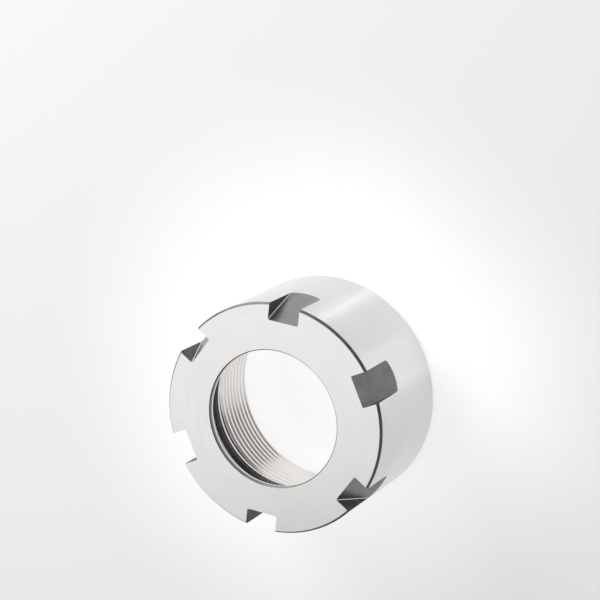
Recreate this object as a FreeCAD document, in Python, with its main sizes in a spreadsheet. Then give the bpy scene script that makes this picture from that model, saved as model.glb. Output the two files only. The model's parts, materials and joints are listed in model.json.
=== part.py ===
import FreeCAD, Part
import os
import Sketcher

# Collet clamping nut, 50 mm across, for the nose of a tool chuck or spindle.
#
# One turned and hardened steel piece. It stands on its threaded rear end, with
# the axis along +Z, the middle of the rear face at the origin and the face that
# the collet looks out of at the top. One spanner slot is centred on the +Y
# axis, and the extraction lip is offset the same way. Lengths are millimetres,
# angles are degrees, and depths are measured down from the top face.
#
# From the top face down, the bore holds:
#   the opening, a short plain land with a small broken edge
#   the seat, a 30 degree cone that presses on the nose of the collet
#   the head recess, a groove that the collet's head snaps into
#   the extraction lip, a narrow bore turned off centre, so that its near side
#     reaches behind the collet's head and pulls the collet out of its taper
#   the relief, a groove in which the thread runs out
#   the thread, cut here at its minor diameter, with a lead-in at each end

SIZES = [
    ("outer_diameter", "50", "outside of the nut"),
    ("nut_length", "27.5", "top face to rear face"),
    ("face_chamfer_across", "0.45", "chamfer between top face and outside, on the radius"),
    ("face_chamfer_along", "0.6", "the same chamfer along the axis"),
    ("rear_chamfer", "0.5", "45 degree chamfer on the outside of the rear face"),
    ("opening_diameter", "30", "plain opening in the top face"),
    ("opening_edge", "0.2", "45 degree broken edge of the opening"),
    ("land_depth", "1.25", "depth at which the opening ends and the seat begins"),
    ("seat_half_angle", "30", "slope of the collet seat against the axis"),
    ("head_diameter", "35", "collet head that the seat takes, wide end of the seat"),
    ("recess_margin", "0.1", "recess wall beyond the widest reach of the lip, on the radius"),
    ("recess_length", "3.2", "length of the head recess along the axis"),
    ("lip_clearance", "0.1", "room for the head to pass through the lip, on the radius"),
    ("lip_offset", "0.6", "how far the lip is turned off centre"),
    ("lip_land", "0.6", "length of the narrow land of the lip"),
    ("lip_slope", "0.8", "45 degree slopes on both sides of that land"),
    ("relief_clearance", "0.3", "thread relief beyond the thread's major radius"),
    ("relief_length", "2", "plain length of the thread relief"),
    ("thread_wall", "4", "outside in to the major radius of the M42 x 1.5 right-hand thread"),
    ("thread_pitch", "1.5", "thread pitch"),
    ("minor_factor", "1.0825", "minor diameter is major diameter less this times the pitch"),
    ("mouth_chamfer", "1.3", "45 degree lead-in at the rear end of the thread"),
    ("slot_count", "6", "spanner slots, evenly round the top"),
    ("slot_width", "7", "width of a spanner slot"),
    ("slot_depth", "3.9", "outside in to the slot floor in the top face, on the radius"),
    ("slot_floor_angle", "20", "slope of the slot floor, which runs out through the side"),
    ("cutter_overrun", "2", "how far the cut of a slot reaches past the metal"),
]

doc = FreeCAD.newDocument("collet_nut")

dims = doc.addObject("Spreadsheet::Sheet", "dims")
dims.Label = "dims"
dims.set("A1", "size")
dims.set("B1", "value")
dims.set("C1", "what it is")
for row, (word, value, note) in enumerate(SIZES, start=2):
    dims.set("A%d" % row, word)
    dims.set("B%d" % row, value)
    dims.setAlias("B%d" % row, word)
    dims.set("C%d" % row, note)
doc.recompute()

body = doc.addObject("PartDesign::Body", "nut_body")
body.Label = "nut_body"


def origin_feature(role):
    """Origin plane or axis of the body, found by its role."""
    return [f for f in body.Origin.OriginFeatures if f.Role == role][0]


def new_sketch(name):
    """Sketch on the YZ plane: across is the radius towards +Y, up is the axis."""
    sketch = body.newObject("Sketcher::SketchObject", name)
    sketch.AttachmentSupport = [(origin_feature("YZ_Plane"), "")]
    sketch.MapMode = "FlatFace"
    return sketch


def place(sketch, axis, line, end, word, rough, formula):
    """Hold one end of a line at a distance from the origin, across or up."""
    kind = "DistanceX" if axis == "across" else "DistanceY"
    n = sketch.addConstraint(Sketcher.Constraint(kind, -1, 1, line, end, rough))
    name = word + "_" + axis
    sketch.renameConstraint(n, name)
    sketch.setExpression("Constraints." + name, formula)


def closed_outline(sketch, corners):
    """Closed outline through corners, each a word, where it was drawn across and
    up, and the formulas that hold it there."""
    spots = [FreeCAD.Vector(corner[1], corner[2], 0) for corner in corners]
    count = len(corners)
    for i in range(count):
        sketch.addGeometry(Part.LineSegment(spots[i], spots[(i + 1) % count]), False)
    for i in range(count):
        sketch.addConstraint(Sketcher.Constraint("Coincident", i, 2, (i + 1) % count, 1))
    for i, (word, across, up, across_formula, up_formula) in enumerate(corners):
        place(sketch, "across", i, 1, word, across, across_formula)
        if up_formula == "0":
            sketch.addConstraint(Sketcher.Constraint("PointOnObject", i, 1, -1))
        else:
            place(sketch, "up", i, 1, word, up, up_formula)


# Formulas that more than one corner uses.
OUTER = "dims.outer_diameter / 2"
OPENING = "dims.opening_diameter / 2"
HEAD = "dims.head_diameter / 2"
LIP = "(dims.head_diameter / 2 + dims.lip_clearance)"
RECESS = "(" + LIP + " + dims.lip_slope + dims.lip_offset + dims.recess_margin)"
MAJOR = "(dims.outer_diameter / 2 - dims.thread_wall)"
RELIEF = "(" + MAJOR + " + dims.relief_clearance)"
MINOR = "(" + MAJOR + " - dims.minor_factor * dims.thread_pitch / 2)"
TOP = "dims.nut_length"
SEAT_END = (
    "(dims.nut_length - dims.land_depth"
    " - (dims.head_diameter - dims.opening_diameter) / 2 / tan(dims.seat_half_angle))"
)
LIP_TOP = "(" + SEAT_END + " - dims.recess_length)"
LIP_END = "(" + LIP_TOP + " - 2 * dims.lip_slope - dims.lip_land)"
RELIEF_END = "(" + LIP_END + " - dims.relief_length)"
LIP_STOCK = "(" + LIP + " - 2 * dims.lip_offset)"

# The turned blank: outside, both faces and every step of the bore that runs true
# with the axis. The lip is left thick here, at the bore called lip stock.
blank_sketch = new_sketch("blank_outline")
closed_outline(blank_sketch, [
    ("rear_inner", 21.5, 0.0, MINOR + " + dims.mouth_chamfer", "0"),
    ("rear_outer", 24.5, 0.0, OUTER + " - dims.rear_chamfer", "0"),
    ("side_rear", 25.0, 0.5, OUTER, "dims.rear_chamfer"),
    ("side_top", 25.0, 26.9, OUTER, TOP + " - dims.face_chamfer_along"),
    ("face_outer", 24.55, 27.5, OUTER + " - dims.face_chamfer_across", TOP),
    ("face_inner", 15.2, 27.5, OPENING + " + dims.opening_edge", TOP),
    ("opening_top", 15.0, 27.3, OPENING, TOP + " - dims.opening_edge"),
    ("opening_end", 15.0, 26.25, OPENING, TOP + " - dims.land_depth"),
    ("seat_end", 17.5, 21.9, HEAD, SEAT_END),
    ("recess_top", 19.1, 21.9, RECESS, SEAT_END),
    ("recess_end", 19.1, 18.7, RECESS, LIP_TOP),
    ("lip_stock_top", 16.4, 18.7, LIP_STOCK, LIP_TOP),
    ("lip_stock_end", 16.4, 16.5, LIP_STOCK, LIP_END),
    ("relief_top", 21.3, 16.5, RELIEF, LIP_END),
    ("relief_end", 21.3, 14.5, RELIEF, RELIEF_END),
    ("thread_top", 20.2, 13.4, MINOR, RELIEF_END + " - (" + RELIEF + " - " + MINOR + ")"),
    ("thread_end", 20.2, 1.3, MINOR, "dims.mouth_chamfer"),
])
blank = body.newObject("PartDesign::Revolution", "turned_blank")
blank.Profile = blank_sketch
blank.ReferenceAxis = (blank_sketch, ["V_Axis"])
blank.Angle = 360
doc.recompute()
blank_volume = body.Shape.Volume

# The extraction lip: the bore through the lip is turned about an axis that lies
# off centre towards +Y, with a slope on each side of its narrow land.
CENTRE = "dims.lip_offset"
INNER = CENTRE + " + " + OPENING + " / 2"
WIDE = CENTRE + " + " + LIP + " + dims.lip_slope"
NARROW = CENTRE + " + " + LIP
lip_sketch = new_sketch("lip_outline")
closed_outline(lip_sketch, [
    ("inner_end", 8.1, 16.5, INNER, LIP_END),
    ("wide_end", 19.0, 16.5, WIDE, LIP_END),
    ("narrow_end", 18.2, 17.3, NARROW, LIP_END + " + dims.lip_slope"),
    ("narrow_top", 18.2, 17.9, NARROW, LIP_TOP + " - dims.lip_slope"),
    ("wide_top", 19.0, 18.7, WIDE, LIP_TOP),
    ("inner_top", 8.1, 18.7, INNER, LIP_TOP),
])
axis_line = lip_sketch.addGeometry(
    Part.LineSegment(FreeCAD.Vector(0.6, 16.5, 0), FreeCAD.Vector(0.6, 18.7, 0)), True
)
for end, word, up, formula in [(1, "axis_end", 16.5, LIP_END), (2, "axis_top", 18.7, LIP_TOP)]:
    place(lip_sketch, "across", axis_line, end, word, 0.6, CENTRE)
    place(lip_sketch, "up", axis_line, end, word, up, formula)
lip = body.newObject("PartDesign::Groove", "eccentric_lip")
lip.Profile = lip_sketch
lip.ReferenceAxis = (lip_sketch, ["Axis0"])
lip.Angle = 360
doc.recompute()
lip_volume = body.Shape.Volume

# One spanner slot: a parallel-sided cut whose flat floor starts inside the face
# chamfer and slopes outwards until it leaves the side of the nut.
slot_sketch = new_sketch("slot_outline")
ABOVE = TOP + " + dims.cutter_overrun"
OUTSIDE = OUTER + " + dims.cutter_overrun"
FLOOR_TOP = OUTER + " - dims.slot_depth - dims.cutter_overrun * tan(dims.slot_floor_angle)"
FLOOR_END = TOP + " - (dims.slot_depth + dims.cutter_overrun) / tan(dims.slot_floor_angle)"
closed_outline(slot_sketch, [
    ("floor_top", 20.4, 29.5, FLOOR_TOP, ABOVE),
    ("floor_end", 27.0, 11.3, OUTSIDE, FLOOR_END),
    ("corner_top", 27.0, 29.5, OUTSIDE, ABOVE),
])
slot = body.newObject("PartDesign::Pocket", "spanner_slot")
slot.Profile = slot_sketch
slot.Type = "Length"
slot.SideType = "Symmetric"
slot.setExpression("Length", "dims.slot_width")
doc.recompute()
slot_volume = body.Shape.Volume

# The other slots, evenly round the axis.
slots = body.newObject("PartDesign::PolarPattern", "spanner_slots")
slots.Originals = [slot]
slots.Axis = (origin_feature("Z_Axis"), [""])
slots.Angle = 360
slots.setExpression("Occurrences", "dims.slot_count")
body.Tip = slots
doc.recompute()
nut_volume = body.Shape.Volume

# Every cut must have taken metal away, at least this many cubic millimetres, and
# each further slot as much as the first one, down to this share of it.
LEAST_CUT = 1.0
LEAST_SHARE = 0.98
lip_cut = blank_volume - lip_volume
slot_cut = lip_volume - slot_volume
further_cuts = slot_volume - nut_volume
further_slots = dims.get("slot_count") - 1
if min(lip_cut, slot_cut) < LEAST_CUT or further_cuts < LEAST_SHARE * further_slots * slot_cut:
    raise SystemExit("a cut missed the metal: lip %.1f, slot %.1f, further slots %.1f mm3"
                     % (lip_cut, slot_cut, further_cuts))

for obj in doc.Objects:
    if "Invalid" in obj.State or "Error" in obj.State:
        raise SystemExit("%s failed: %s" % (obj.Label, obj.State))

os.makedirs("parts", exist_ok=True)
for node in [body]:
    shape = node.Shape
    if shape.isNull() or not shape.isValid() or len(shape.Solids) != 1:
        raise SystemExit("%s has no single valid solid" % node.Label)
    shape.exportStep("parts/%s.step" % node.Label)
    box = shape.BoundBox
    print("%s: %.2f x %.2f x %.2f mm, z from %.2f, %.0f mm3, %d faces" % (
        node.Label, box.XLength, box.YLength, box.ZLength, box.ZMin,
        shape.Volume, len(shape.Faces)))
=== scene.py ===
"""Collet clamping nut, 50 mm across, dressed for a studio picture.

The nut is one turned, hardened and ground piece of steel. Its outside and its bore are
turned from one outline, six spanner slots are cut into its front edge, and the fine
thread in its rear half is real geometry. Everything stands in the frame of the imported
solid: the axis is +Z, the rear face is at z = 0, and one slot is centred on +Y. Values in
the property groups are metres and radians.
"""

import json
import math

import bmesh
import bpy
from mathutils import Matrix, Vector


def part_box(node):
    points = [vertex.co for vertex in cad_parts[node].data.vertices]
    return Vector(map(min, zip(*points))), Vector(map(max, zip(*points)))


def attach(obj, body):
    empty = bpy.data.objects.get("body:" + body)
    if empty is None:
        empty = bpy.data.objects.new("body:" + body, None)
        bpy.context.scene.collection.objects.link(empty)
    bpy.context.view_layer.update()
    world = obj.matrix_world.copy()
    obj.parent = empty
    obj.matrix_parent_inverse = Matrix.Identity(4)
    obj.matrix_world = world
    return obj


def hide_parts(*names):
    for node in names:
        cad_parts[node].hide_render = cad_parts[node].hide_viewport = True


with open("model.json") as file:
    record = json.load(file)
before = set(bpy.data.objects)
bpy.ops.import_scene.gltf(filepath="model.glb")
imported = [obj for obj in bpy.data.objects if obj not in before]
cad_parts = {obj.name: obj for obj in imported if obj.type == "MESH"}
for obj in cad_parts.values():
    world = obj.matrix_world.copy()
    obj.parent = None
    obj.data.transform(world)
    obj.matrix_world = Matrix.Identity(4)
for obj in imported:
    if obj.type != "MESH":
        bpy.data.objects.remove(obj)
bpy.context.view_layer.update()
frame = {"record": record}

bl_info = {
    "name": "Collet Nut",
    "version": (1, 0, 0),
    "blender": (4, 5, 0),
    "location": "3D View > Sidebar > Collet Nut",
    "description": "Collet clamping nut with spanner slots, collet seat and a fine thread",
    "category": "Mesh",
}

MM = 0.001
PIECE = "collet_nut"
NODE = "nut_body"
BODY = "root"

LOW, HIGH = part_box(NODE)
MOUNTS = {mount["name"]: mount for mount in frame["record"]["mounts"]}

# Profile of the thread, in pitches: its depth, and the width of the flat at its crest and
# at its root. The two flanks share the rest of the pitch and stand 60 degrees apart. The
# crests are broader and the roots narrower than in the basic metric profile, as the bright
# and dark lines in the photograph are.
THREAD_DEPTH = 0.459
CREST_FLAT = 0.42
ROOT_FLAT = 0.05

# Pitches that the thread's grid has to spare above its upper end and below its lower one.
SPARE_ABOVE, SPARE_BELOW = 1.0, 2.0

# Share of the lip's upper slope that lies above the step in it.
STEP_PLACE = 0.65

# Points nearer than this are one point, and edges sharper than this stay crisp.
WELD = 0.001 * MM
CRISP_ANGLE = math.radians(12)

# How far below its upper lead-in the thread keeps that cone's finish.
CREST_MARGIN = 0.1 * MM

# Places of the finishes in the nut's list of materials.
GROUND, BLACKENED, MILLED, THREADED = 0, 1, 2, 3

# Azimuth of the first slot, how far a slot's cutter reaches past the nut, and how many
# facets the fillet in a slot's corner has.
FIRST_SLOT = math.radians(90)
OVERRUN = 2 * MM
CORNER_FACETS = 4

# Number that each face of a slot carries: its walls, the bright line in its corners and its
# floor. The walls are darker than the floor, partly from their dull scale and partly as
# painted shade. The bright line is the ground finish on the fillet, partly a painted highlight
# and partly real light that the fillet catches. The share of a face's normal that points
# across the slot tells them apart: a wall has more than the first limit and a floor less than
# the second, which leaves the upper half of a corner's fillet. Numbers less than the last
# value apart are the same number.
SLOT_PART = "slot_part"
SLOT_WALL, SLOT_CORNER, SLOT_FLOOR = 1, 2, 3
WALL_LIMIT = 0.9
FLOOR_LIMIT = 0.7
SAME_NUMBER = 0.5

# Patterns of the finishes as they are drawn: how far apart the marks of the tool lie and
# how long one runs, the size of the clouds on ground steel, and the grain and the mottling
# of the two dull finishes.
GROUND_MARKS, GROUND_RUN, GROUND_CLOUDS = 0.25 * MM, 12 * MM, 9 * MM
THREAD_MARKS, THREAD_RUN = 0.15 * MM, 8 * MM
BLACKENED_GRAIN, BLACKENED_MOTTLE = 0.35 * MM, 2.5 * MM
MILLED_GRAIN, MILLED_MOTTLE = 0.3 * MM, 3 * MM

# How far the marks change the roughness, and the clouds and the mottling the colour.
GROUND_SWING, THREAD_SWING = 0.02, 0.03
GROUND_TONES, BLACKENED_TONES, MILLED_TONES = (0.96, 1.0), (0.7, 1.2), (0.82, 1.12)

# Settings of fine and of clouded noise, and the values that most of one noise, and most of
# two added up, lie between.
FINE = {"Detail": 2.0, "Roughness": 0.6}
CLOUDED = {"Detail": 3.0}
ONE_NOISE, TWO_NOISES = (0.3, 0.7), (0.7, 1.3)

# Where the photograph was taken from, in the nut's own frame: the camera's place in
# millimetres and its turn in degrees. It is rolled, because the nut in the photograph
# lies on its side and this one stands on its rear face.
CAMERA_PLACE = (41.797, -223.339, 396.221)
CAMERA_TURN = (-13.6804, 26.3086, -113.2110)
SENSOR_WIDTH = 36.0

# Floor, in metres. It lies just under the rear face and mirrors faintly. Its glow is a painted
# pool of light round the nut: it falls to a share of itself between two distances from the
# nut's axis. Under the bore it is raised by a share, as painted light that lifts the shade
# that falls there.
FLOOR_SIZE = 3.0
FLOOR_GAP = 0.02 * MM
FLOOR_ROUGHNESS = 0.12
FLOOR_SPECULAR = 0.3
PAINTED_POOL_REACH = (15 * MM, 75 * MM)
PAINTED_POOL_FALL = 0.7
PAINTED_BORE_REACH = (17 * MM, 24 * MM)
PAINTED_BORE_LIGHT = 1.14

# The room is darker on the side that the photograph was taken from: azimuth and elevation
# of that side in degrees, how far from it the dark holds and where it ends, and the share
# of the surround that is left there.
DARK_SIDE = (-79, 48)
DARK_REACH = (22, 38)
DARK_SHARE = 0.6

# Softboxes and lamps: name, azimuth and elevation in degrees, distance, width and height
# in metres, spread in degrees, brightness against the surround, and the point that it
# faces in millimetres. The streak lamp and the band lamps have grids and shine on the floor
# beside the nut. The floor mirrors them into its side, as a streak and a faint light band.
LAMPS = [
    ("back_softbox", 77, 64, 0.9, 0.55, 0.55, 180, 0.88, (0, 0, 0)),
    ("right_softbox", 3, 44, 0.9, 0.74, 0.66, 180, 0.6, (0, 0, 0)),
    ("left_softbox", -156, 47, 0.9, 1.1, 0.7, 180, 0.36, (0, 0, 0)),
    ("key_lamp", 14, 25, 0.45, 0.22, 0.22, 180, 17.0, (0, 0, 0)),
    ("streak_lamp", -15, 60, 0.3, 0.03, 0.03, 6, 0.15, (26, -21, 0)),
    ("first_band_lamp", -76, 60, 0.3, 0.03, 0.03, 6, 0.08, (4, -43, 0)),
    ("second_band_lamp", -90, 60, 0.3, 0.03, 0.03, 6, 0.03, (-1, -41, 0)),
    ("third_band_lamp", -101, 60, 0.3, 0.03, 0.03, 6, 0.045, (-4, -41, 0)),
    ("fourth_band_lamp", -111, 60, 0.3, 0.03, 0.03, 6, 0.07, (-7, -40, 0)),
]

# Nodes that are used most, and how far apart nodes stand in their editor.
MATH = "ShaderNodeMath"
COMBINE = "ShaderNodeCombineXYZ"
NOISE = "ShaderNodeTexNoise"
NODE_STEP = 180


def linear(hex_colour):
    """Linear red, green and blue of an sRGB hex colour such as #C9C7C4."""
    channels = [int(hex_colour[i:i + 2], 16) / 255 for i in (1, 3, 5)]
    return tuple(c / 12.92 if c <= 0.04045 else ((c + 0.055) / 1.055) ** 2.4 for c in channels)


def length(name, description, default):
    """A length property, in metres."""
    return bpy.props.FloatProperty(
        name=name, description=description, default=default, min=0.0,
        unit="LENGTH", subtype="DISTANCE", precision=5)


def angle(name, description, default):
    """An angle property, in radians."""
    return bpy.props.FloatProperty(
        name=name, description=description, default=default,
        unit="ROTATION", subtype="ANGLE")


def colour(name, description, default):
    """A colour property, given as sRGB hex."""
    return bpy.props.FloatVectorProperty(
        name=name, description=description, default=linear(default),
        min=0.0, max=1.0, size=3, subtype="COLOR")


def factor(name, description, default):
    """A plain number between nothing and one."""
    return bpy.props.FloatProperty(
        name=name, description=description, default=default, min=0.0, max=1.0,
        subtype="FACTOR")


def direction(azimuth, elevation):
    """Unit vector for an azimuth and an elevation in degrees."""
    turn, rise = math.radians(azimuth), math.radians(elevation)
    return Vector((
        math.cos(rise) * math.cos(turn), math.cos(rise) * math.sin(turn), math.sin(rise)))


class NutSizes(bpy.types.PropertyGroup):
    """Sizes of the nut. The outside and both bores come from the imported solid."""

    outer_diameter: length("Outside", "Outside diameter", HIGH.x - LOW.x)
    nut_length: length("Length", "Front face to rear face", HIGH.z - LOW.z)
    face_chamfer_across: length("Front chamfer across", "On the radius", 0.45 * MM)
    face_chamfer_along: length("Front chamfer along", "Along the axis", 0.6 * MM)
    rear_chamfer: length("Rear chamfer", "45 degree chamfer of the rear edge", 0.5 * MM)
    opening_radius: length(
        "Opening radius", "Plain opening in the front face",
        MOUNTS["front_opening"]["dims"]["r_mm"] * MM)
    opening_edge: length("Opening edge", "Broken edge of the opening", 0.2 * MM)
    land_step: length("Land step", "Land inside the opening, on the radius", 0.16 * MM)
    ground_depth: length("Ground depth", "Depth at which the land is ground", 0.85 * MM)
    land_depth: length("Land depth", "Depth at which the seat begins", 1.38 * MM)
    seat_half_angle: angle("Seat angle", "Seat against the axis", math.radians(30))
    head_diameter: length("Collet head", "Head that the seat takes", 35 * MM)
    recess_margin: length("Recess margin", "Recess beyond the lip's reach", 0.1 * MM)
    recess_length: length("Recess length", "Head recess along the axis", 2.8 * MM)
    lip_clearance: length("Lip clearance", "Room for the head at the lip", 0.1 * MM)
    lip_offset: length("Lip offset", "How far the lip is off centre", 0.6 * MM)
    lip_land: length("Lip land", "Narrow land of the lip", 0.6 * MM)
    lip_slope: length("Lip slope", "45 degree slopes beside the land", 0.8 * MM)
    lip_step: length("Lip step", "Narrow step in the upper slope", 0.15 * MM)
    relief_clearance: length("Relief clearance", "Relief beyond the thread", 0.4 * MM)
    relief_length: length("Relief length", "Plain length of the relief", 1.85 * MM)
    minor_radius: length(
        "Minor radius", "Crests of the thread", MOUNTS["rear_thread"]["dims"]["r_mm"] * MM)
    thread_pitch: length("Pitch", "Pitch of the thread", 1.5 * MM)
    thread_start: factor("Thread start", "Turn of the thread, in turns", 0.5)
    mouth_chamfer: length("Mouth chamfer", "Lead-in at the rear face", 1.3 * MM)
    slot_count: bpy.props.IntProperty(
        name="Slots", description="Spanner slots round the front edge", default=6, min=2)
    slot_width: length("Slot width", "Across a slot", 7 * MM)
    slot_depth: length("Slot depth", "From the outside, in the front face", 3.9 * MM)
    slot_floor_angle: angle("Floor angle", "Slot floor against the axis", math.radians(20))
    slot_corner: length("Slot corner", "Fillet between floor and walls", 0.3 * MM)
    columns: bpy.props.IntProperty(
        name="Columns", description="Facets round the nut", default=288, min=12)
    thread_rows: bpy.props.IntProperty(
        name="Thread rows", description="Rows of facets in one pitch", default=16, min=8)


class NutFinishes(bpy.types.PropertyGroup):
    """Colours and roughness of the steel."""

    ground: colour("Ground steel", "Bright ground surfaces", "#D8D7D6")
    ground_roughness: factor("Ground roughness", "Bright ground surfaces", 0.24)
    blackened: colour("Blackened steel", "Slot walls, chamfers and grooves", "#6A6866")
    blackened_roughness: factor("Blackened roughness", "Slot walls, chamfers, grooves", 0.58)
    milled: colour("Milled steel", "Slot floors and the opening's upper part", "#868483")
    milled_roughness: factor("Milled roughness", "Slot floors, opening's upper part", 0.4)
    threaded: colour("Threaded steel", "Cut thread", "#E8E4E2")
    threaded_roughness: factor("Thread roughness", "Cut thread", 0.15)


class NutStage(bpy.types.PropertyGroup):
    """Floor, lights and camera."""

    floor: colour("Floor", "Plain pale floor", "#868686")
    floor_glow: factor("Floor glow", "Light that the floor gives by itself", 0.77)
    surround: colour("Surround", "Light from all round", "#FFFFFF")
    surround_strength: factor("Surround strength", "Light from all round", 0.45)
    softbox_brightness: bpy.props.FloatProperty(
        name="Softboxes", description="Brightness of the softboxes", default=1.0, min=0.0)
    focal_length: bpy.props.FloatProperty(
        name="Focal length", description="Camera lens, in millimetres", default=124.24,
        min=1.0)


def add_node(tree, kind, inputs=(), **settings):
    """Add a node with its settings, and link or set its inputs, given in order or by
    name. Returns its outputs, of which the first is linked where all are given."""
    node = tree.nodes.new(kind)
    node.location.x = NODE_STEP * len(tree.nodes)
    for name, value in settings.items():
        setattr(node, name, value)
    for key, value in inputs.items() if isinstance(inputs, dict) else enumerate(inputs):
        if isinstance(value, bpy.types.bpy_prop_collection):
            value = value[0]
        if isinstance(value, bpy.types.NodeSocket):
            tree.links.new(value, node.inputs[key])
        else:
            node.inputs[key].default_value = value
    return node.outputs


def new_geometry_tree(name, inputs):
    """Geometry Nodes tree with named inputs. Returns the tree and its given values."""
    tree = bpy.data.node_groups.new(name, "GeometryNodeTree")
    for label, kind in inputs:
        tree.interface.new_socket(label, in_out="INPUT", socket_type=kind)
    tree.interface.new_socket("Geometry", in_out="OUTPUT", socket_type="NodeSocketGeometry")
    return tree, add_node(tree, "NodeGroupInput")


def run_geometry_tree(tree, mesh, values):
    """Run the tree on the mesh with these inputs and return the plain mesh it makes."""
    obj = bpy.data.objects.new(mesh.name, mesh)
    bpy.context.scene.collection.objects.link(obj)
    modifier = obj.modifiers.new(tree.name, "NODES")
    modifier.node_group = tree
    for item in tree.interface.items_tree:
        if item.in_out == "INPUT" and item.name in values:
            modifier[item.identifier] = values[item.name]
    depsgraph = bpy.context.evaluated_depsgraph_get()
    made = bpy.data.meshes.new_from_object(obj.evaluated_get(depsgraph))
    obj.modifiers.remove(modifier)
    bpy.data.objects.remove(obj)
    bpy.data.meshes.remove(mesh)
    return made


def slot_tree():
    """Geometry Nodes tree that cuts the spanner slots out of a turned blank.

    The cutter is a slab as wide as a slot, with rounded corners, laid against the sloping
    floor. It is turned round the axis once for each slot."""
    tree, given = new_geometry_tree("Spanner slots", [
        ("Blank", "NodeSocketGeometry"),
        ("Slot Count", "NodeSocketInt"),
        ("Slot Width", "NodeSocketFloat"),
        ("Slot Depth", "NodeSocketFloat"),
        ("Floor Angle", "NodeSocketFloat"),
        ("Corner Radius", "NodeSocketFloat"),
        ("Outer Radius", "NodeSocketFloat"),
        ("Nut Length", "NodeSocketFloat"),
        ("Overrun", "NodeSocketFloat"),
        ("First Slot", "NodeSocketFloat"),
        ("Wall Finish And Painted Shade", "NodeSocketMaterial"),
        ("Corner Finish And Painted Highlight", "NodeSocketMaterial"),
        ("Floor Finish", "NodeSocketMaterial"),
    ])
    slab = add_node(tree, MATH, (given["Slot Depth"], given["Overrun"]))
    section = add_node(tree, "GeometryNodeCurvePrimitiveQuadrilateral", {
        "Width": slab, "Height": given["Slot Width"]})
    rounded = add_node(tree, "GeometryNodeFilletCurve", {
        "Curve": section, "Radius": given["Corner Radius"], "Count": CORNER_FACETS},
        mode="POLY")
    steepness = add_node(tree, MATH, (given["Floor Angle"],), operation="SINE")
    reach = add_node(tree, MATH, (slab, steepness), operation="DIVIDE")
    down = add_node(tree, MATH, (reach, -1.0), operation="MULTIPLY")
    path = add_node(tree, "GeometryNodeCurvePrimitiveLine", {
        "Start": add_node(tree, COMBINE, {"Z": down}),
        "End": add_node(tree, COMBINE, {"Z": given["Overrun"]})})
    slab_solid = add_node(tree, "GeometryNodeCurveToMesh", {
        "Curve": path, "Profile Curve": rounded, "Fill Caps": True})
    across = add_node(
        tree, "ShaderNodeSeparateXYZ", (add_node(tree, "GeometryNodeInputNormal")["Normal"],))
    slant = add_node(tree, MATH, (across["Y"],), operation="ABSOLUTE")
    past_wall = add_node(tree, MATH, (slant, WALL_LIMIT), operation="LESS_THAN")
    past_corner = add_node(tree, MATH, (slant, FLOOR_LIMIT), operation="LESS_THAN")
    part = add_node(tree, MATH, (
        add_node(tree, MATH, (past_wall, past_corner)), SLOT_WALL))
    marked = add_node(tree, "GeometryNodeStoreNamedAttribute", {
        "Geometry": slab_solid, "Name": SLOT_PART, "Value": part},
        data_type="INT", domain="FACE")
    half = add_node(tree, MATH, (slab, 0.5), operation="MULTIPLY")
    inner_face_first = add_node(tree, "GeometryNodeTransform", {
        "Geometry": marked, "Translation": add_node(tree, COMBINE, {"X": half})})
    lean = add_node(tree, MATH, (given["Floor Angle"], -1.0), operation="MULTIPLY")
    floor_radius = add_node(
        tree, MATH, (given["Outer Radius"], given["Slot Depth"]), operation="SUBTRACT")
    cutter = add_node(tree, "GeometryNodeTransform", {
        "Geometry": inner_face_first,
        "Rotation": add_node(tree, COMBINE, {"Y": lean}),
        "Translation": add_node(tree, COMBINE, {
            "X": floor_radius, "Z": given["Nut Length"]})})
    centres = add_node(tree, "GeometryNodePoints", {"Count": given["Slot Count"]})
    share = add_node(tree, MATH, (
        add_node(tree, "GeometryNodeInputIndex"), given["Slot Count"]), operation="DIVIDE")
    turn = add_node(
        tree, MATH, (share, 2 * math.pi, given["First Slot"]), operation="MULTIPLY_ADD")
    round_axis = add_node(
        tree, "FunctionNodeEulerToRotation", (add_node(tree, COMBINE, {"Z": turn}),))
    cutters = add_node(tree, "GeometryNodeInstanceOnPoints", {
        "Points": centres, "Instance": cutter, "Rotation": round_axis})
    slotted = add_node(tree, "GeometryNodeMeshBoolean", {
        "Mesh 1": given["Blank"],
        "Mesh 2": add_node(tree, "GeometryNodeRealizeInstances", (cutters,))},
        operation="DIFFERENCE", solver="EXACT")
    part_cut = add_node(
        tree, "GeometryNodeInputNamedAttribute", {"Name": SLOT_PART}, data_type="INT")
    finished = add_node(tree, "GeometryNodeRealizeInstances", (slotted,))
    # The walls' dark finish is partly painted shade, and the corners' bright finish is partly
    # a painted highlight.
    for number, finish in (
            (SLOT_WALL, "Wall Finish And Painted Shade"), (SLOT_CORNER, "Corner Finish And Painted Highlight"),
            (SLOT_FLOOR, "Floor Finish")):
        is_part = add_node(
            tree, MATH, {0: part_cut, 1: number, 2: SAME_NUMBER}, operation="COMPARE")
        finished = add_node(tree, "GeometryNodeSetMaterial", {
            "Geometry": finished, "Selection": is_part, "Material": given[finish]})
    add_node(tree, "NodeGroupOutput", {"Geometry": finished})
    return tree


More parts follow.
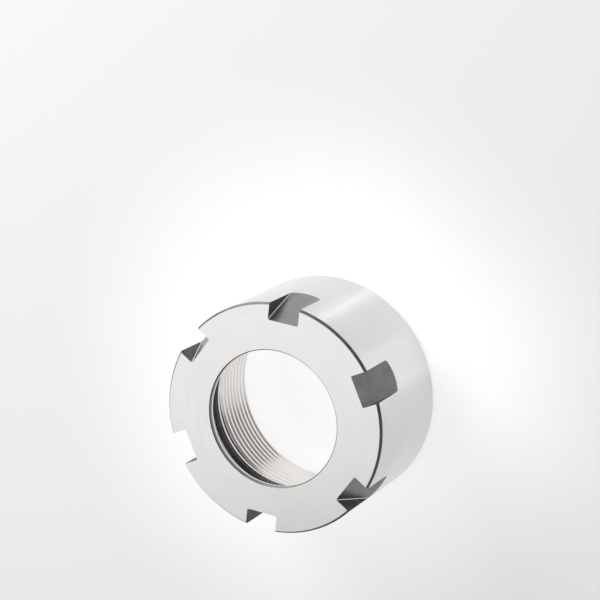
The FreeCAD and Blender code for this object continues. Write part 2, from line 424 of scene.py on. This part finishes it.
def thread_tree():
    """Geometry Nodes tree that makes the threaded wall of the bore.

    A grid is rolled up along the helix. Each row keeps its place in the thread's profile,
    so crests and roots have clean edges, and the rows past either end are held at that
    end. Where a lead-in cone is wider than the thread, the wall follows the cone."""
    tree, given = new_geometry_tree("Internal thread", [
        ("Minor Radius", "NodeSocketFloat"),
        ("Pitch", "NodeSocketFloat"),
        ("Thread Depth", "NodeSocketFloat"),
        ("Crest Flat", "NodeSocketFloat"),
        ("Root Flat", "NodeSocketFloat"),
        ("Length", "NodeSocketFloat"),
        ("Mouth Radius", "NodeSocketFloat"),
        ("Relief Radius", "NodeSocketFloat"),
        ("Start", "NodeSocketFloat"),
        ("Columns", "NodeSocketInt"),
        ("Rows", "NodeSocketInt"),
        ("Weld", "NodeSocketFloat"),
        ("Crest Margin", "NodeSocketFloat"),
        ("Finish", "NodeSocketMaterial"),
        ("Lead-in Finish", "NodeSocketMaterial"),
    ])
    # The grid has a few pitches to spare, because the helix climbs while it turns.
    across = add_node(tree, MATH, (given["Columns"], 1.0))
    pitches = add_node(tree, MATH, (given["Length"], given["Pitch"]), operation="DIVIDE")
    with_spare = add_node(tree, MATH, (
        add_node(tree, MATH, (pitches,), operation="CEIL"), SPARE_ABOVE + SPARE_BELOW))
    rows = add_node(tree, MATH, (with_spare, given["Rows"]), operation="MULTIPLY")
    grid = add_node(tree, "GeometryNodeMeshGrid", {
        "Vertices X": add_node(tree, MATH, (rows, 1.0)), "Vertices Y": across})

    # Row and column of a point, as a place in the profile and a share of a turn.
    middle = add_node(tree, MATH, (add_node(tree, "GeometryNodeInputIndex"), 0.5))
    row = add_node(tree, MATH, (
        add_node(tree, MATH, (middle, across), operation="DIVIDE"),), operation="FLOOR")
    row_start = add_node(tree, MATH, (row, across), operation="MULTIPLY")
    column = add_node(tree, MATH, (
        add_node(tree, "GeometryNodeInputIndex"), row_start), operation="SUBTRACT")
    turn = add_node(tree, MATH, (column, given["Columns"]), operation="DIVIDE")
    place = add_node(tree, MATH, (
        add_node(tree, MATH, (row, given["Rows"]), operation="DIVIDE"), SPARE_BELOW),
        operation="SUBTRACT")

    # Height along the helix, held between the two ends of the thread.
    lead = add_node(tree, MATH, (turn, given["Start"]))
    climb = add_node(tree, MATH, (
        add_node(tree, MATH, (place, lead)), given["Pitch"]), operation="MULTIPLY")
    below_end = add_node(tree, MATH, (climb, given["Length"]), operation="MINIMUM")
    height = add_node(tree, MATH, (below_end, 0.0), operation="MAXIMUM")

    # Radius of the profile there. It is widest in the middle of the root.
    pitches_up = add_node(tree, MATH, (height, given["Pitch"]), operation="DIVIDE")
    profile = add_node(tree, MATH, (pitches_up, lead), operation="SUBTRACT")
    crest_half = add_node(tree, MATH, (given["Crest Flat"], 0.5), operation="MULTIPLY")
    root_half = add_node(tree, MATH, (given["Root Flat"], 0.5), operation="MULTIPLY")
    root_middle = add_node(tree, MATH, (crest_half, 0.5))
    from_root = add_node(tree, MATH, (
        add_node(tree, MATH, (profile, root_middle), operation="SUBTRACT"), 0.5),
        operation="PINGPONG")
    major = add_node(tree, MATH, (
        given["Pitch"], given["Thread Depth"], given["Minor Radius"]),
        operation="MULTIPLY_ADD")
    thread = add_node(tree, "ShaderNodeMapRange", {
        "Value": from_root, "From Min": root_half,
        "From Max": add_node(tree, MATH, (0.5, crest_half), operation="SUBTRACT"),
        "To Min": major, "To Max": given["Minor Radius"]}, clamp=True)

    # Lead-in cones at both ends, at 45 degrees.
    mouth = add_node(tree, MATH, (given["Mouth Radius"], height), operation="SUBTRACT")
    to_end = add_node(tree, MATH, (given["Length"], height), operation="SUBTRACT")
    lead_in = add_node(tree, MATH, (given["Relief Radius"], to_end), operation="SUBTRACT")
    cones = add_node(tree, MATH, (mouth, lead_in), operation="MAXIMUM")
    radius = add_node(tree, MATH, (thread, cones), operation="MAXIMUM")

    azimuth = add_node(tree, MATH, (turn, 2 * math.pi), operation="MULTIPLY")
    cosine = add_node(tree, MATH, (azimuth,), operation="COSINE")
    sine = add_node(tree, MATH, (azimuth,), operation="SINE")
    rolled = add_node(tree, "GeometryNodeSetPosition", {
        "Geometry": grid,
        "Position": add_node(tree, COMBINE, {
            "X": add_node(tree, MATH, (radius, cosine), operation="MULTIPLY"),
            "Y": add_node(tree, MATH, (radius, sine), operation="MULTIPLY"),
            "Z": height})})
    welded = add_node(tree, "GeometryNodeMergeByDistance", {
        "Geometry": rolled, "Distance": given["Weld"]})
    thread_finished = add_node(tree, "GeometryNodeSetMaterial", {
        "Geometry": add_node(tree, "GeometryNodeRealizeInstances", (welded,)),
        "Material": given["Finish"]})

    # The upper lead-in, and the crest that it cuts into, have a finish of their own.
    cone_end = add_node(tree, MATH, (given["Length"], add_node(tree, MATH, (
        given["Relief Radius"], given["Minor Radius"]), operation="SUBTRACT")),
        operation="SUBTRACT")
    position = add_node(
        tree, "ShaderNodeSeparateXYZ", (add_node(tree, "GeometryNodeInputPosition"),))
    is_lead_in = add_node(tree, "FunctionNodeCompare", {
        "A": position["Z"],
        "B": add_node(tree, MATH, (cone_end, given["Crest Margin"]), operation="SUBTRACT")},
        operation="GREATER_THAN")
    finished = add_node(tree, "GeometryNodeSetMaterial", {
        "Geometry": thread_finished, "Selection": is_lead_in,
        "Material": given["Lead-in Finish"]})
    add_node(tree, "NodeGroupOutput", {"Geometry": finished})
    return tree


def relief_radius(size):
    """Radius of the groove in which the thread runs out."""
    return size.minor_radius + THREAD_DEPTH * size.thread_pitch + size.relief_clearance


def turned_outline(size):
    """Corners of the turned outline, from the mouth of the thread round the outside and
    down the bore to the end of the thread relief. Each corner is its radius, its height,
    how far it is off centre, and the finish of the band that follows it."""
    outer = size.outer_diameter / 2
    top = size.nut_length
    land = size.opening_radius - size.land_step
    head = size.head_diameter / 2
    lip = head + size.lip_clearance
    lip_mouth = lip + size.lip_slope
    recess = lip_mouth + size.lip_offset + size.recess_margin
    relief = relief_radius(size)
    seat_end = top - size.land_depth - (head - land) / math.tan(size.seat_half_angle)
    lip_top = seat_end - size.recess_length
    upper_slope = STEP_PLACE * size.lip_slope
    lip_step = lip_mouth - upper_slope
    lip_end = lip_top - 2 * size.lip_slope - size.lip_step - size.lip_land
    off = size.lip_offset
    return [
        (size.minor_radius + size.mouth_chamfer, 0.0, 0.0, GROUND),
        (outer - size.rear_chamfer, 0.0, 0.0, BLACKENED),
        (outer, size.rear_chamfer, 0.0, GROUND),
        (outer, top - size.face_chamfer_along, 0.0, BLACKENED),
        (outer - size.face_chamfer_across, top, 0.0, GROUND),
        (land + size.opening_edge, top, 0.0, BLACKENED),
        (land, top - size.opening_edge, 0.0, MILLED),
        (land, top - size.ground_depth, 0.0, GROUND),
        (land, top - size.land_depth, 0.0, GROUND),
        (head, seat_end, 0.0, BLACKENED),
        (recess, seat_end, 0.0, BLACKENED),
        (recess, lip_top, 0.0, BLACKENED),
        (lip_mouth, lip_top, off, BLACKENED),
        (lip_step, lip_top - upper_slope, off, GROUND),
        (lip_step, lip_top - upper_slope - size.lip_step, off, BLACKENED),
        (lip, lip_top - size.lip_slope - size.lip_step, off, GROUND),
        (lip, lip_end + size.lip_slope, off, BLACKENED),
        (lip_mouth, lip_end, off, BLACKENED),
        (relief, lip_end, 0.0, BLACKENED),
        (relief, lip_end - size.relief_length, 0.0, GROUND),
    ]


def turned_blank(size, finishes):
    """Mesh of the outline turned round the axis. A plain band closes it where the thread
    goes, so that it is a solid that the slots can be cut from."""
    outline = turned_outline(size)
    blank = bmesh.new()
    rings = []
    for radius, height, off, _ in outline:
        turns = [2 * math.pi * i / size.columns for i in range(size.columns)]
        rings.append([
            blank.verts.new((radius * math.cos(t), off + radius * math.sin(t), height))
            for t in turns])
    for k, (_, _, _, finish) in enumerate(outline):
        ring, following = rings[k], rings[(k + 1) % len(rings)]
        for i in range(size.columns):
            j = (i + 1) % size.columns
            face = blank.faces.new((ring[i], ring[j], following[j], following[i]))
            face.material_index = finish
    bmesh.ops.recalc_face_normals(blank, faces=blank.faces)
    mesh = bpy.data.meshes.new("turned_blank")
    blank.to_mesh(mesh)
    blank.free()
    for finish in finishes:
        mesh.materials.append(finish)
    return mesh


def weld_nut(body, thread, thread_length):
    """One closed mesh of the slotted body and the thread, which takes the place of the
    plain band between the rear face and the thread relief."""
    solid = bmesh.new()
    solid.from_mesh(body)
    band = []
    for face in solid.faces:
        heights = [vert.co.z for vert in face.verts]
        if abs(min(heights)) < WELD and abs(max(heights) - thread_length) < WELD:
            band.append(face)
    bmesh.ops.delete(solid, geom=band, context="FACES")
    solid.from_mesh(thread)
    bmesh.ops.remove_doubles(solid, verts=solid.verts, dist=WELD)
    bmesh.ops.recalc_face_normals(solid, faces=solid.faces)
    if any(len(edge.link_faces) != 2 for edge in solid.edges):
        raise RuntimeError("the nut's mesh isn't closed")
    if solid.calc_volume(signed=True) < 0:
        bmesh.ops.reverse_faces(solid, faces=solid.faces)
    solid.faces.layers.int.remove(solid.faces.layers.int[SLOT_PART])
    mesh = bpy.data.meshes.new(PIECE)
    solid.to_mesh(mesh)
    solid.free()
    for finish in body.materials:
        mesh.materials.append(finish)
    mesh.shade_smooth()
    mesh.set_sharp_from_angle(angle=CRISP_ANGLE)
    return mesh


def new_material(name):
    """Material with an empty Principled shader. Returns it, its tree and the shader."""
    material = bpy.data.materials.new(name)
    material.use_nodes = True
    tree = material.node_tree
    return material, tree, tree.nodes["Principled BSDF"]


def tool_marks(tree, spacing, wander):
    """Noise drawn out into rings round the axis, on a face, a cone or a cylinder alike:
    it changes quickly with radius and height, and slowly, over the length wander, round
    the nut. Both lengths are metres. Returns its value, from nothing to one."""
    place = add_node(tree, "ShaderNodeTexCoord")["Object"]
    x, y, z = add_node(tree, "ShaderNodeSeparateXYZ", (place,))
    flat = add_node(tree, COMBINE, {"X": x, "Y": y})
    radius = add_node(tree, "ShaderNodeVectorMath", (flat,), operation="LENGTH")["Value"]
    rings = add_node(tree, COMBINE, {
        "X": add_node(tree, MATH, (radius, 1 / spacing), operation="MULTIPLY"),
        "Y": add_node(tree, MATH, (z, 1 / spacing), operation="MULTIPLY"),
        "Z": add_node(tree, MATH, (x, 1 / wander), operation="MULTIPLY")})
    return add_node(tree, NOISE, {
        "Vector": rings, "W": add_node(tree, MATH, (y, 1 / wander), operation="MULTIPLY"),
        "Scale": 1.0, **FINE}, noise_dimensions="4D")[0]


def ground_steel(finish):
    """Hardened alloy steel, finish ground.

    Cylindrical and face grinding leave it bright, with a soft mirror that is drawn out a
    little by very fine rings. On the fillets in the slots' corners it is partly a painted
    highlight. The real rings are about 0.02 mm apart and don't show at this size, so they are
    drawn 0.25 mm apart and shallow."""
    material, tree, shader = new_material("hardened_steel_ground")
    marks = tool_marks(tree, GROUND_MARKS, GROUND_RUN)
    place = add_node(tree, "ShaderNodeTexCoord")["Object"]
    clouds = add_node(tree, NOISE, {"Vector": place, "Scale": 1 / GROUND_CLOUDS, **CLOUDED})[0]
    rough = finish.ground_roughness
    gloss = add_node(tree, "ShaderNodeMapRange", {
        "Value": marks, "From Min": ONE_NOISE[0], "From Max": ONE_NOISE[1],
        "To Min": rough - GROUND_SWING, "To Max": rough + GROUND_SWING})
    tone = add_node(tree, "ShaderNodeMapRange", {
        "Value": clouds, "From Min": ONE_NOISE[0], "From Max": ONE_NOISE[1],
        "To Min": GROUND_TONES[0], "To Max": GROUND_TONES[1]})
    tint = add_node(tree, "ShaderNodeVectorMath", {
        0: finish.ground, "Scale": tone}, operation="SCALE")
    tree.links.new(tint[0], shader.inputs["Base Color"])
    tree.links.new(gloss[0], shader.inputs["Roughness"])
    bump = add_node(tree, "ShaderNodeBump", {
        "Strength": 0.02, "Distance": 0.01 * MM, "Height": marks})
    tree.links.new(bump[0], shader.inputs["Normal"])
    shader.inputs["Metallic"].default_value = 1.0
    return material


def dull_steel(name, plain_colour, roughness, grain_size, mottle_size, tones, strength, depth):
    """Steel with a dull finish that has a grain and is mottled. Its colour goes from the
    darkest to the lightest of the tones, and strength and depth are those of its grain."""
    material, tree, shader = new_material(name)
    place = add_node(tree, "ShaderNodeTexCoord")["Object"]
    grain = add_node(tree, NOISE, {"Vector": place, "Scale": 1 / grain_size, **FINE})[0]
    mottle = add_node(tree, NOISE, {"Vector": place, "Scale": 1 / mottle_size, **CLOUDED})[0]
    tone = add_node(tree, "ShaderNodeMapRange", {
        "Value": add_node(tree, MATH, (mottle, grain)),
        "From Min": TWO_NOISES[0], "From Max": TWO_NOISES[1],
        "To Min": tones[0], "To Max": tones[1]})
    tint = add_node(tree, "ShaderNodeVectorMath", {
        0: plain_colour, "Scale": tone}, operation="SCALE")
    tree.links.new(tint[0], shader.inputs["Base Color"])
    bump = add_node(tree, "ShaderNodeBump", {
        "Strength": strength, "Distance": depth, "Height": grain})
    tree.links.new(bump[0], shader.inputs["Normal"])
    shader.inputs["Metallic"].default_value = 1.0
    shader.inputs["Roughness"].default_value = roughness
    return material


def blackened_steel(finish):
    """Hardened alloy steel, milled or turned and left as it came from hardening.

    The grinding wheel never reaches it, so it keeps a thin black scale: dark, dull and
    mottled, with a grain of about 0.1 mm from the cutter and the scale. On the slot walls its
    dark colour is partly painted shade as well as scale. The grain is drawn at 0.35 mm, as
    coarse as it needs to be to show."""
    return dull_steel(
        "hardened_steel_blackened", finish.blackened, finish.blackened_roughness,
        BLACKENED_GRAIN, BLACKENED_MOTTLE, BLACKENED_TONES, strength=0.5, depth=0.03 * MM)


def milled_steel(finish):
    """Hardened alloy steel, milled or bored with a sharp edge and left so.

    The cutter's teeth sweep the floor of a slot flat and leave it lighter than the walls,
    a grey with a fine grain, and so does the tool that bores the opening. The real grain
    is about 0.05 mm and is drawn at 0.3 mm, so that it shows."""
    return dull_steel(
        "hardened_steel_milled", finish.milled, finish.milled_roughness,
        MILLED_GRAIN, MILLED_MOTTLE, MILLED_TONES, strength=0.4, depth=0.02 * MM)


def threaded_steel(finish):
    """Hardened alloy steel, thread cut with a single-point tool.

    The tool leaves the flanks smooth and bright, a little warmer than the ground
    surfaces, with marks that follow the cut. The real marks are about 0.05 mm apart and
    are drawn 0.15 mm apart, so that they show."""
    material, tree, shader = new_material("hardened_steel_threaded")
    marks = tool_marks(tree, THREAD_MARKS, THREAD_RUN)
    rough = finish.threaded_roughness
    gloss = add_node(tree, "ShaderNodeMapRange", {
        "Value": marks, "From Min": ONE_NOISE[0], "From Max": ONE_NOISE[1],
        "To Min": rough - THREAD_SWING, "To Max": rough + THREAD_SWING})
    tree.links.new(gloss[0], shader.inputs["Roughness"])
    bump = add_node(tree, "ShaderNodeBump", {
        "Strength": 0.03, "Distance": 0.01 * MM, "Height": marks})
    tree.links.new(bump[0], shader.inputs["Normal"])
    shader.inputs["Base Color"].default_value = (*finish.threaded, 1.0)
    shader.inputs["Metallic"].default_value = 1.0
    return material


def floor_material(stage):
    """Opal acrylic floor that glows as a light table does: a pale floor that takes a soft
    shadow and mirrors faintly. Its glow is a painted pool of light, brightest round the nut,
    and it is raised under the bore as painted light that lifts the shade there."""
    material, tree, shader = new_material("acrylic_floor")
    place = add_node(tree, "ShaderNodeTexCoord")["Object"]
    away = add_node(tree, "ShaderNodeVectorMath", (place,), operation="LENGTH")["Value"]
    # Painted pool of light: the glow is full round the nut's axis and falls away from it.
    glow = add_node(tree, "ShaderNodeMapRange", {
        "Value": away, "From Min": PAINTED_POOL_REACH[0], "From Max": PAINTED_POOL_REACH[1],
        "To Min": stage.floor_glow, "To Max": stage.floor_glow * PAINTED_POOL_FALL},
        interpolation_type="SMOOTHSTEP")
    # Painted light under the bore, lifting the shade that falls on the floor there.
    rise = add_node(tree, "ShaderNodeMapRange", {
        "Value": away, "From Min": PAINTED_BORE_REACH[0], "From Max": PAINTED_BORE_REACH[1],
        "To Min": PAINTED_BORE_LIGHT, "To Max": 1.0}, interpolation_type="SMOOTHSTEP")
    strength = add_node(tree, MATH, (glow, rise), operation="MULTIPLY")
    tree.links.new(strength[0], shader.inputs["Emission Strength"])
    shader.inputs["Base Color"].default_value = (*stage.floor, 1.0)
    shader.inputs["Roughness"].default_value = FLOOR_ROUGHNESS
    shader.inputs["Specular IOR Level"].default_value = FLOOR_SPECULAR
    shader.inputs["Emission Color"].default_value = (*stage.surround, 1.0)
    return material


class MakeNut(bpy.types.Operator):
    """Make the collet nut: turned body, spanner slots and internal thread"""

    bl_idname = "collet_nut.make_nut"
    bl_label = "Make the nut"
    bl_options = {"REGISTER", "UNDO"}

    def execute(self, context):
        size = context.scene.nut_sizes
        finish = context.scene.nut_finishes
        finishes = [
            ground_steel(finish), blackened_steel(finish), milled_steel(finish),
            threaded_steel(finish)]
        body = run_geometry_tree(slot_tree(), turned_blank(size, finishes), {
            "Slot Count": size.slot_count,
            "Slot Width": size.slot_width,
            "Slot Depth": size.slot_depth,
            "Floor Angle": size.slot_floor_angle,
            "Corner Radius": size.slot_corner,
            "Outer Radius": size.outer_diameter / 2,
            "Nut Length": size.nut_length,
            "Overrun": OVERRUN,
            "First Slot": FIRST_SLOT,
            # Walls: dull scale and painted shade. Corners: ground finish, partly a painted
            # highlight.
            "Wall Finish And Painted Shade": finishes[BLACKENED],
            "Corner Finish And Painted Highlight": finishes[GROUND],
            "Floor Finish": finishes[MILLED],
        })
        thread_length = turned_outline(size)[-1][1]
        thread = run_geometry_tree(thread_tree(), bpy.data.meshes.new("thread"), {
            "Minor Radius": size.minor_radius,
            "Pitch": size.thread_pitch,
            "Thread Depth": THREAD_DEPTH,
            "Crest Flat": CREST_FLAT,
            "Root Flat": ROOT_FLAT,
            "Length": thread_length,
            "Mouth Radius": size.minor_radius + size.mouth_chamfer,
            "Relief Radius": relief_radius(size),
            "Start": size.thread_start,
            "Columns": size.columns,
            "Rows": size.thread_rows,
            "Weld": WELD,
            "Crest Margin": CREST_MARGIN,
            "Finish": finishes[THREADED],
            "Lead-in Finish": finishes[BLACKENED],
        })
        for face in thread.polygons:
            face.material_index = finishes.index(thread.materials[face.material_index])
        nut = bpy.data.objects.new(PIECE, weld_nut(body, thread, thread_length))
        context.scene.collection.objects.link(nut)
        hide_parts(NODE)
        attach(nut, BODY)
        return {"FINISHED"}


def lay_floor(context, stage):
    """Lay the plain floor just under the nut."""
    bpy.ops.mesh.primitive_plane_add(size=FLOOR_SIZE, location=(0, 0, -FLOOR_GAP))
    floor = context.object
    floor.name = "floor"
    floor.data.materials.append(floor_material(stage))


def light_surround(context, stage):
    """Light the room from all round, and less from its dark side."""
    world = bpy.data.worlds.new("surround")
    world.use_nodes = True
    tree = world.node_tree
    background = tree.nodes["Background"]
    background.inputs["Color"].default_value = (*stage.surround, 1.0)
    towards_dark = add_node(tree, "ShaderNodeVectorMath", (
        add_node(tree, "ShaderNodeTexCoord")["Generated"], direction(*DARK_SIDE)),
        operation="DOT_PRODUCT")["Value"]
    strength = add_node(tree, "ShaderNodeMapRange", {
        "Value": towards_dark,
        "From Min": math.cos(math.radians(DARK_REACH[1])),
        "From Max": math.cos(math.radians(DARK_REACH[0])),
        "To Min": stage.surround_strength,
        "To Max": stage.surround_strength * DARK_SHARE},
        interpolation_type="SMOOTHSTEP")
    tree.links.new(strength[0], background.inputs["Strength"])
    context.scene.world = world


def hang_lamps(context, stage):
    """Hang the softboxes and lamps, each turned to the point that it faces."""
    for name, azimuth, elevation, away, width, height, spread, brightness, aim in LAMPS:
        lamp = bpy.data.lights.new(name, "AREA")
        lamp.shape = "RECTANGLE"
        lamp.size = width
        lamp.size_y = height
        lamp.spread = math.radians(spread)
        lamp.energy = stage.softbox_brightness * brightness * math.pi * width * height
        light = bpy.data.objects.new(name, lamp)
        way = direction(azimuth, elevation)
        light.location = Vector(aim) * MM + way * away
        light.rotation_euler = way.to_track_quat("Z", "Y").to_euler()
        context.scene.collection.objects.link(light)


def place_camera(context, stage):
    """Put the camera where the photograph was taken from."""
    lens = bpy.data.cameras.new("camera")
    lens.lens = stage.focal_length
    lens.sensor_width = SENSOR_WIDTH
    camera = bpy.data.objects.new("camera", lens)
    camera.location = [MM * c for c in CAMERA_PLACE]
    camera.rotation_euler = [math.radians(a) for a in CAMERA_TURN]
    context.scene.collection.objects.link(camera)
    context.scene.camera = camera


class SetStage(bpy.types.Operator):
    """Set the plain pale floor, the soft lights and the camera"""

    bl_idname = "collet_nut.set_stage"
    bl_label = "Set the stage"
    bl_options = {"REGISTER", "UNDO"}

    def execute(self, context):
        stage = context.scene.nut_stage
        lay_floor(context, stage)
        light_surround(context, stage)
        hang_lamps(context, stage)
        place_camera(context, stage)
        context.scene.view_settings.view_transform = "Standard"
        return {"FINISHED"}


class NutPanel(bpy.types.Panel):
    """Sizes, finishes and stage of the collet nut, and the operators that make them"""

    bl_idname = "VIEW3D_PT_collet_nut"
    bl_label = "Collet Nut"
    bl_space_type = "VIEW_3D"
    bl_region_type = "UI"
    bl_category = "Collet Nut"

    def draw(self, context):
        layout = self.layout
        for group, operators in (
            ("nut_sizes", (MakeNut,)), ("nut_finishes", ()), ("nut_stage", (SetStage,))):
            box = layout.box()
            for name in getattr(context.scene, group).bl_rna.properties.keys():
                if name not in ("rna_type", "name"):
                    box.prop(getattr(context.scene, group), name)
            for operator in operators:
                box.operator(operator.bl_idname)


CLASSES = (NutSizes, NutFinishes, NutStage, MakeNut, SetStage, NutPanel)


def register():
    """Register the classes and hang the property groups on the scene."""
    for cls in CLASSES:
        bpy.utils.register_class(cls)
    bpy.types.Scene.nut_sizes = bpy.props.PointerProperty(type=NutSizes)
    bpy.types.Scene.nut_finishes = bpy.props.PointerProperty(type=NutFinishes)
    bpy.types.Scene.nut_stage = bpy.props.PointerProperty(type=NutStage)


def unregister():
    """Take away what register added."""
    del bpy.types.Scene.nut_stage
    del bpy.types.Scene.nut_finishes
    del bpy.types.Scene.nut_sizes
    for cls in reversed(CLASSES):
        bpy.utils.unregister_class(cls)


def main():
    """Make the nut and its stage."""
    register()
    bpy.ops.collet_nut.make_nut()
    bpy.ops.collet_nut.set_stage()


if __name__ == "__main__":
    main()
